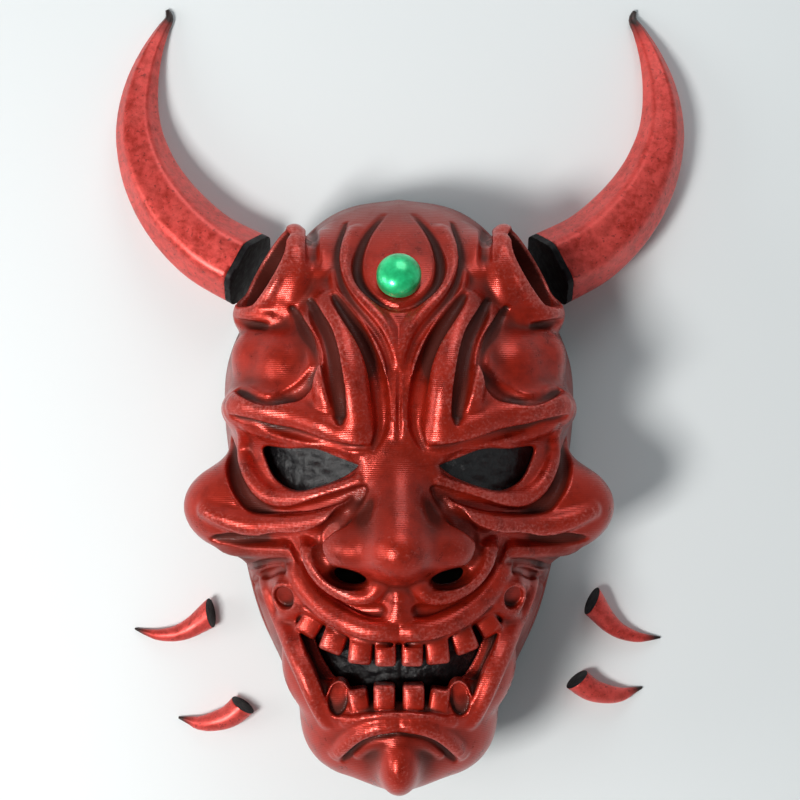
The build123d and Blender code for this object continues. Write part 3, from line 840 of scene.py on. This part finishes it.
def red_paint():
    """Metallic red over the face: pink on what stands out, a dry-brushed look that also serves as
    painted highlight; brown and umber in what lies deep, a wash that also serves as painted shade, and
    brown painted shade sprayed where the face lies in shadow.
    """
    paint = Paint("red_paint")
    crease = paint.attribute("crease")
    hollow = paint.attribute("hollow")
    sprayed_shade = paint.attribute("painted_shade")
    mottle = paint.noise(MOTTLE, 5, 0.65)
    grain = paint.noise(GRAIN, 3, 0.6)
    broad = paint.noise(BROAD, 3, 0.55)
    colour = paint.mix(paint.fit(mottle, 0.3, 0.6), DEEP_RED, RED)
    colour = paint.mix(paint.fit(broad, 0.35, 0.65, 0, 0.6), colour, RED)
    # Pink on the sharper crests: a dry-brushed look, and painted highlight as well.
    raised = paint.add(crease, paint.fit(grain, 0.3, 0.7, -0.3, 0.3))
    colour = paint.mix(paint.fit(raised, -0.3, -0.85, 0, 0.45), colour, PINK)
    # Pink on the broader swells: painted highlight, with a dry-brushed look.
    swell = paint.add(hollow, paint.fit(grain, 0.3, 0.7, -0.25, 0.25))
    colour = paint.mix(paint.fit(swell, -0.3, -0.8, 0, 0.2), colour, PINK)
    # Brown wash in the hollows and creases, which also stands for the painted shade there, plus the
    # sprayed painted shade and a little random tone.
    shade = paint.add(paint.fit(hollow, -0.08, 0.2, 0, 0.9), sprayed_shade)
    shade = paint.add(shade, paint.fit(crease, 0.05, 0.3, 0, 0.55))
    shade = paint.add(shade, paint.fit(broad, 0.3, 0.7, -0.15, 0.15))
    colour = paint.mix(paint.fit(shade, 0.05, 1.0, 0, 0.95), colour, BROWN)
    # Where the sprayed painted shade is deepest, as in the nostrils, it turns umber.
    colour = paint.mix(paint.fit(sprayed_shade, 0.8, 0.97, 0, 0.95), colour, UMBER)
    # Umber in the sharpest creases: a wash that also stands for painted shade.
    line = paint.add(paint.fit(crease, 0.22, 0.6), paint.fit(mottle, 0.3, 0.7, -0.12, 0.12))
    colour = paint.mix(paint.fit(line, 0.0, 1.0, 0, 0.95), colour, UMBER)
    normal = paint.bump(paint.bands("Y", LAYER_LINES, 1.0, 0.6), 0.12, 0.0003)
    normal = paint.bump(paint.noise(STIPPLE, 4, 0.7), 0.25, 0.0004, normal)
    glitter = paint.bump(grain, 0.3, 0.0003, normal)
    rough = paint.add(paint.fit(mottle, 0.3, 0.7, 0.25, 0.38), paint.fit(shade, 0.3, 1.2, 0, 0.35))
    return paint.set(Base_Color=colour, Metallic=0.5, Roughness=rough, Normal=normal,
                     Specular_IOR_Level=0.4, Coat_Weight=0.1, Coat_Roughness=0.08, Coat_Normal=glitter)


def horn_paint(name, tip_low, tip_high):
    """Brighter mottled red that goes over to umber towards the tip."""
    paint = Paint(name)
    along = paint.attribute("along")
    mottle = paint.noise(HORN_MOTTLE, 4, 0.7)
    broad = paint.noise(HORN_BROAD, 3, 0.6)
    colour = paint.mix(paint.fit(mottle, 0.36, 0.6), HORN_RED, HORN_PALE)
    colour = paint.mix(paint.fit(broad, 0.45, 0.8, 0, 0.6), colour, HORN_BLOOM)
    speck = paint.fit(paint.noise(SPECK, 2, 0.5), 0.62, 0.72, 0, 0.55)
    colour = paint.mix(speck, colour, UMBER)
    tip = paint.add(along, paint.fit(mottle, 0, 1, -0.05, 0.05))
    colour = paint.mix(paint.fit(tip, tip_low, tip_high), colour, UMBER)
    normal = paint.bump(paint.noise(HORN_GRAIN, 3, 0.6), 0.3, 0.0004)
    rough = paint.fit(mottle, 0.3, 0.7, 0.34, 0.5)
    return paint.set(Base_Color=colour, Metallic=0.5, Roughness=rough,
                     Normal=normal, Coat_Weight=0.25, Coat_Roughness=0.3)


def black_base():
    """Matt black plastic on the ends of the horns and fangs."""
    paint = Paint("black_base")
    grain = paint.noise(BASE_GRAIN, 3, 0.6)
    colour = paint.mix(paint.fit(grain, 0.4, 0.7), BASE_BLACK, BASE_GREY)
    return paint.set(Base_Color=colour, Roughness=paint.fit(grain, 0.3, 0.7, 0.4, 0.6),
                     Specular_IOR_Level=0.2, Normal=paint.bump(grain, 0.4, 0.0005))


def green_gem():
    """Glossy green, a little swirled."""
    paint = Paint("green_gem")
    swirl = paint.noise(SWIRL, 3, 0.6)
    colour = paint.mix(paint.fit(swirl, 0.3, 0.7), GEM_DEEP, GEM_BRIGHT)
    return paint.set(Base_Color=colour, Metallic=0.4, Roughness=0.3, Coat_Weight=0.5, Coat_Roughness=0.1)


def black_fabric():
    """Thin black knit with soft folds."""
    paint = Paint("black_fabric")
    weave = paint.combine("MULTIPLY", *(paint.bands(axis, GRAIN, 2.0, 1.0) for axis in "XY"))
    folds = paint.noise(FOLDS, 3, 0.6)
    colour = paint.mix(paint.fit(weave, 0, 1), KNIT_BLACK, KNIT_GREY)
    normal = paint.bump(folds, 0.7, 0.003)
    normal = paint.bump(weave, 0.35, 0.0003, normal)
    return paint.set(Base_Color=colour, Roughness=0.38, Normal=normal, Specular_IOR_Level=0.6)


def magnet_steel():
    """Plated metal of uneven gloss."""
    paint = Paint("magnet_steel")
    rough = paint.fit(paint.noise(GRAIN, 2, 0.5), 0.3, 0.7, 0.25, 0.4)
    return paint.set(Base_Color=STEEL, Metallic=1.0, Roughness=rough)


# ------------ horns and fangs
# Stations are (x, y, radius) along the middle line of a horn on the +X side, or of a fang from its
# base. The last one of the horn draws its tip out further than the CAD's.
HORN_STATIONS = (
    (54.9, 49.0, 16.0), (58.6, 51.5, 15.9), (75.0, 60.5, 15.3), (88.0, 73.0, 14.2),
    (97.3, 87.2, 12.4), (102.4, 101.8, 10.4), (103.6, 114.0, 8.7), (102.2, 126.5, 6.8),
    (99.0, 138.0, 4.7), (95.0, 147.3, 2.9), (92.0, 153.0, 1.8), (92.8, 156.6, 0.9),
)
HORN_BASE = (58.6, 51.5)
HORN_HEADING = 29.0
HORN_BASE_RISE = 16.0
HORN_PLUG = 2.5
HORN_CORNER = 0.32
RIGHT_HORN_TURN = -0.9
HORN_FLAT = math.sqrt(3) / 2  # half the width across the flats, as a share of the radius
CORNER_STEPS = (-30, -15, 0, 15, 30)
FLAT_SHARES = (0.25, 0.5, 0.75)
FANG_SIDES = 32
HORN_STEP = 1.2
FANG_STEP = 0.7
UPPER_FANG = (
    (-4, 1.6, 5.9), (0, 0, 5.4), (6.5, -2.9, 4.3), (11.3, -4.5, 3.7), (16.5, -5.1, 3.0),
    (22.6, -4.2, 2.2), (26.8, -2.5, 1.4), (31.5, 0, 0.4),
)
LOWER_FANG = (
    (-4, 2.9, 5.4), (0, 0, 5.1), (6.3, -3.3, 4.6), (13.7, -4.2, 3.7), (18.9, -3.6, 2.7),
    (22.6, -1.9, 1.6), (26.7, 0, 0.4),
)
FANG_BASE_RISE = 14.0
# Profile, place in plan, turn, heading of the base, side and body
FANGS = {
    "fang_upper_left": (UPPER_FANG, 75.0, -84.8, -11.7, 181.0, -1, "upper_left_fang"),
    "fang_upper_right": (UPPER_FANG, 76.8, -80.0, -27.9, 181.0, 1, "upper_right_fang"),
    "fang_lower_left": (LOWER_FANG, 62.3, -121.2, -12.1, 138.0, -1, "lower_left_fang"),
    "fang_lower_right": (LOWER_FANG, 71.0, -111.0, -8.1, 138.0, 1, "lower_right_fang"),
}


def hexagon_section(corner):
    """Unit six-sided section with rounded corners, first corner on the level axis."""
    inset = 1 - corner / math.sin(math.radians(60))

    def on_corner(k, step):
        middle = math.radians(60 * k)
        a = middle + math.radians(step)
        return np.array((inset * math.cos(middle) + corner * math.cos(a),
                         inset * math.sin(middle) + corner * math.sin(a)))

    points = []
    for k in range(6):
        points += [on_corner(k, step) for step in CORNER_STEPS]
        start = points[-1]
        flat = on_corner(k + 1, CORNER_STEPS[0]) - start
        points += [start + flat * share for share in FLAT_SHARES]
    return np.array(points)


def round_section(count):
    """Unit circle of points."""
    a = np.linspace(0, 2 * np.pi, count, endpoint=False)
    return np.stack((np.cos(a), np.sin(a)), 1)


def curved_cone(stations, section, lift, step):
    """A tapering tube that lies on the table, closed at both ends, and how far along it each point
    is, from 0 to 1."""
    path = curve_through(stations, step)
    tangent = np.gradient(path[:, :2], axis=0)
    angle = np.arctan2(tangent[:, 1], tangent[:, 0])
    rings = []
    for (x, y, radius), a in zip(path, angle):
        level = np.array((-math.sin(a), math.cos(a), 0))
        centre = np.array((x, y, radius * lift))
        rings.append(centre + radius * (section[:, :1] * level + section[:, 1:] * (0, 0, 1)))
    count = len(section)
    points = np.vstack(rings)
    quads = []
    for i in range(len(rings) - 1):
        for j in range(count):
            k = (j + 1) % count
            quads.append((i * count + j, i * count + k, (i + 1) * count + k, (i + 1) * count + j))
    last = (len(rings) - 1) * count
    run = np.concatenate(([0], np.cumsum(np.linalg.norm(np.diff(path[:, :2], axis=0), axis=1))))
    along = np.repeat(run / run[-1], count)
    ends = [tuple(range(count))[::-1], tuple(range(last, last + count))]
    return points, quads + ends, along


CUT_NEAR = 1e-5
BASE_NEAR = 0.05  # a face this near the base plane, and this square to it, is the base
BASE_FACING = 0.98


def faceted_piece(name, points, faces, along, materials, planes, base=None):
    """Builds the mesh and cuts it by planes (point, normal): what lies on the normal's side goes.
    The face on the base plane gets the second material."""
    mesh = bpy.data.meshes.new(name)
    mesh.from_pydata(np.asarray(points).tolist(), [], faces)
    layer = mesh.attributes.new("along", "FLOAT", "POINT")
    layer.data.foreach_set("value", along)
    bm = bmesh.new()
    bm.from_mesh(mesh)
    for point, normal in planes:
        whole = bm.verts[:] + bm.edges[:] + bm.faces[:]
        bmesh.ops.bisect_plane(bm, geom=whole, plane_co=point, plane_no=normal, clear_outer=True,
                               dist=CUT_NEAR)
        rim = [e for e in bm.edges if e.is_boundary]
        bmesh.ops.contextual_create(bm, geom=rim)
    bmesh.ops.recalc_face_normals(bm, faces=bm.faces[:])
    if base is not None:
        point, normal = base
        for face in bm.faces:
            off = abs((face.calc_center_median() - Vector(point)).dot(Vector(normal)))
            if off < BASE_NEAR and abs(face.normal.dot(Vector(normal))) > BASE_FACING:
                face.material_index = 1
    for face in bm.faces:
        face.smooth = len(face.verts) < 5
    bmesh.ops.scale(bm, vec=(MM, MM, MM), verts=bm.verts[:])
    bm.to_mesh(mesh)
    bm.free()
    piece = linked(name, mesh)
    for material in materials:
        mesh.materials.append(material)
    return piece


def placed(points, side, about=None, turn=0.0):
    """Mirrors, turns in plan about a point, and shifts into the layout."""
    points = np.array(points, float) * (side, 1, 1)
    if turn:
        flat = points[:, :2] - about
        points[:, :2] = np.stack(turned(flat[:, 0], flat[:, 1], turn), 1) + about
    return points + (0, LAYOUT_SHIFT, 0)


def horn_pieces(side, word, body, paint, black):
    """A horn and the black plug in its base, parted by a cut across the horn."""
    points, faces, along = curved_cone(HORN_STATIONS, hexagon_section(HORN_CORNER), HORN_FLAT,
                                       HORN_STEP)
    normal = heading(180 + HORN_HEADING, HORN_BASE_RISE)
    base = np.array((*HORN_BASE, HORN_STATIONS[1][2] * HORN_FLAT))
    turn = RIGHT_HORN_TURN if side > 0 else 0.0

    def place(p):
        return placed(np.atleast_2d(p), side, np.array(HORN_BASE), turn)

    points = place(points)
    tip = place(base + normal)[0] - place(base)[0]
    cut = place(base - normal * HORN_PLUG)[0]
    horn = faceted_piece(f"horn_body_{word}", points, faces, along, [paint, black],
                         [(cut, tip)], base=(cut, tip))
    plug = faceted_piece(f"horn_end_{word}", points, faces, along, [black],
                         [(place(base)[0], tip), (cut, -tip)])
    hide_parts(f"horn_{word}")
    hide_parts(f"horn_plug_{word}")
    for piece in (horn, plug):
        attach(piece, body)


def fang_piece(name, stations, x, y, turn, cut_angle, side, body, paint, black):
    """A round fang with a black face where its base is cut off at a slant."""
    points, faces, along = curved_cone(stations, round_section(FANG_SIDES), 1.0, FANG_STEP)

    def place(p):
        p = np.atleast_2d(p)
        flat_x, flat_y = turned(p[:, 0], p[:, 1], turn)
        return placed(np.stack((flat_x + x, flat_y + y, p[:, 2]), 1), side)

    base = np.array((0, 0, stations[1][2]))
    normal = heading(cut_angle, FANG_BASE_RISE)
    point = place(base)[0]
    out = place(base + normal)[0] - point
    fang = faceted_piece(f"{name}_body", place(points), faces, along, [paint, black], [(point, out)],
                         base=(point, out))
    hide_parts(name)
    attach(fang, body)


# ------------ fabric screens
SCREEN_THICKNESS = 0.7
SCREEN_GAP = 0.15
SCREEN_STEP = 1.6
SCREEN_ROWS = 22
SCREEN_SAG = 1.3  # how far the slack middle hangs below the shell
WRINKLE_SHARE = 0.35
# Waves that add up to the wrinkles: size, and how fast each runs in x and in y
WRINKLES = ((1.0, 0.55, 0.9), (0.6, -0.35, 1.3), (0.5, 1.7, 0.0))
EYE_MIDDLE = (33, -25)
EYE_MARGIN = (1.25, 1.55)  # how much wider and higher than the eye its screen is
MOUTH_SCREEN_HALF = ((0, -76), (20, -74), (33, -68), (44, -71), (43, -90), (31, -116), (0, -124))


def dome_height(x, y, inset):
    """How high the plain dome, drawn in by inset, stands over points of the plan."""
    x, y = np.asarray(x, float), np.asarray(y, float) - DOME_CENTRE_Y
    reach = rim_reach(np.arctan2(y, x)) - inset
    share = np.minimum(np.hypot(x, y) / reach, 1)
    return (DOME_HEIGHT - inset) * (1 - share ** DOME_SQUARENESS) ** (1 / DOME_ROUNDNESS)


def screen(name, outline, node, material):
    """A sheet of knit cut to outline and glued under the shell, slack by a wrinkle or two."""
    ring = closed_curve(outline, SCREEN_STEP)[:-1]
    middle = ring.mean(0)
    shares = np.linspace(0, 1, SCREEN_ROWS)[1:]
    plan = np.vstack([middle[None, :]] + [middle + (ring - middle) * share for share in shares])
    inset = WALL + SCREEN_GAP + SCREEN_THICKNESS / 2
    slack = np.concatenate(([1.0], np.repeat(np.cos(shares * math.pi / 2), len(ring))))
    wrinkle = sum(size * np.sin(plan @ (fast_x, fast_y)) for size, fast_x, fast_y in WRINKLES)
    top = dome_height(plan[:, 0], plan[:, 1], inset) - slack * (SCREEN_SAG + WRINKLE_SHARE * wrinkle)
    count = len(ring)
    faces = [(0, 1 + j, 1 + (j + 1) % count) for j in range(count)]
    for i in range(len(shares) - 1):
        a = 1 + i * count
        for j in range(count):
            k = (j + 1) % count
            faces.append((a + j, a + count + j, a + count + k, a + k))
    points = np.column_stack((plan, top))
    piece = to_mesh(name, points, faces)
    solid = piece.modifiers.new("thickness", "SOLIDIFY")
    solid.thickness = SCREEN_THICKNESS * MM
    solid.offset = 0
    bpy.context.view_layer.objects.active = piece
    bpy.ops.object.select_all(action="DESELECT")
    piece.select_set(True)
    bpy.ops.object.modifier_apply(modifier=solid.name)
    piece.data.materials.append(material)
    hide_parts(node)
    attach(piece, "mask")


def eye_outline(side):
    """The outline of one eye's screen: the eye's own, made wider and higher for the glue."""
    (x_middle, y_middle), (wider, higher) = EYE_MIDDLE, EYE_MARGIN
    return [(((x - x_middle) * wider + x_middle) * side, (y - y_middle) * higher + y_middle)
            for x, y in EYE_OUTLINE]


# ------------ camera, lights and floor
HORIZON_GLOW = 0.60
ZENITH_GLOW = 0.08
SKY = (0.86, 0.94, 0.97, 1)
CAMERA_PLACE = (0.0004, -0.002, 0.9)
CAMERA_LENS = 101.0
CAMERA_SENSOR = 36.0
FLOOR_HALF = 3.0
FLOOR_DROP = 0.0002
# name, place, side length, power and colour
LIGHTS = (
    ("key", (-0.50, -0.30, 0.90), 0.26, 9.0, (1.0, 0.985, 0.96)),
    ("top", (0.15, 1.0, 0.6), 0.6, 3.5, (0.92, 0.97, 1.0)),
    ("left", (-1.1, -0.1, 0.5), 0.5, 3.0, (1.0, 0.985, 0.97)),
)


def studio():
    """A camera straight above, a soft sky that is darker overhead, and three soft lights."""
    world = bpy.data.worlds.new("studio")
    bpy.context.scene.world = world
    world.use_nodes = True
    nodes, links = world.node_tree.nodes, world.node_tree.links
    direction = nodes.new("ShaderNodeTexCoord")
    split = nodes.new("ShaderNodeSeparateXYZ")
    links.new(direction.outputs["Generated"], split.inputs[0])
    glow = nodes.new("ShaderNodeMapRange")
    links.new(split.outputs["Z"], glow.inputs["Value"])
    glow.inputs["To Min"].default_value = HORIZON_GLOW
    glow.inputs["To Max"].default_value = ZENITH_GLOW
    links.new(glow.outputs["Result"], nodes["Background"].inputs["Strength"])
    nodes["Background"].inputs["Color"].default_value = SKY
    bpy.context.scene.view_settings.view_transform = "Standard"
    camera = linked("camera", bpy.data.cameras.new("camera"))
    camera.data.sensor_width = CAMERA_SENSOR
    camera.data.lens = CAMERA_LENS
    camera.location = CAMERA_PLACE
    bpy.context.scene.camera = camera
    for name, place, size, energy, colour in LIGHTS:
        light = linked(name, bpy.data.lights.new(name, "AREA"))
        light.data.size = size
        light.data.energy = energy
        light.data.color = colour
        light.location = place
        light.rotation_euler = (-Vector(place)).to_track_quat("-Z", "Y").to_euler()


def floor():
    """A plain pale table top."""
    mesh = bpy.data.meshes.new("table_top")
    corners = [(x * FLOOR_HALF, y * FLOOR_HALF, 0) for x, y in ((-1, -1), (1, -1), (1, 1), (-1, 1))]
    mesh.from_pydata(corners, [], [(0, 1, 2, 3)])
    top = linked("table_top", mesh)
    paint = Paint("table_top")
    mesh.materials.append(paint.set(Base_Color=TABLE_TOP, Roughness=0.6))
    top.location.z = -FLOOR_DROP


# ------------ putting it together
def repaint(node, material):
    """Gives a CAD node one material of its own."""
    node.data.materials.clear()
    node.data.materials.append(material)


def mask():
    """The sculpted face in place of the plain shell."""
    face = mask_piece()
    face.data.materials.append(red_paint())
    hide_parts("mask_shell")
    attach(face, "mask")


def loose_pieces_and_screens(black, fabric):
    """The horns, the three screens and the fangs."""
    horn_red = horn_paint("horn_paint", 0.90, 0.97)
    fang_red = horn_paint("fang_paint", 0.80, 0.95)
    for side, word in ((-1, "left"), (1, "right")):
        horn_pieces(side, word, f"{word}_horn", horn_red, black)
        screen(f"eye_cloth_{word}", eye_outline(side), f"eye_screen_{word}", fabric)
    screen("mouth_cloth", mirrored(MOUTH_SCREEN_HALF), "mouth_screen", fabric)
    for name, (stations, x, y, turn, cut, side, body) in FANGS.items():
        fang_piece(name, stations, x, y, turn, cut, side, body, fang_red, black)


studio()
floor()
black = black_base()
fabric = black_fabric()
steel = magnet_steel()
mask()
loose_pieces_and_screens(black, fabric)
for name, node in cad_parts.items():
    if "magnet" in name:
        repaint(node, steel)
repaint(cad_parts["forehead_gem"], green_gem())
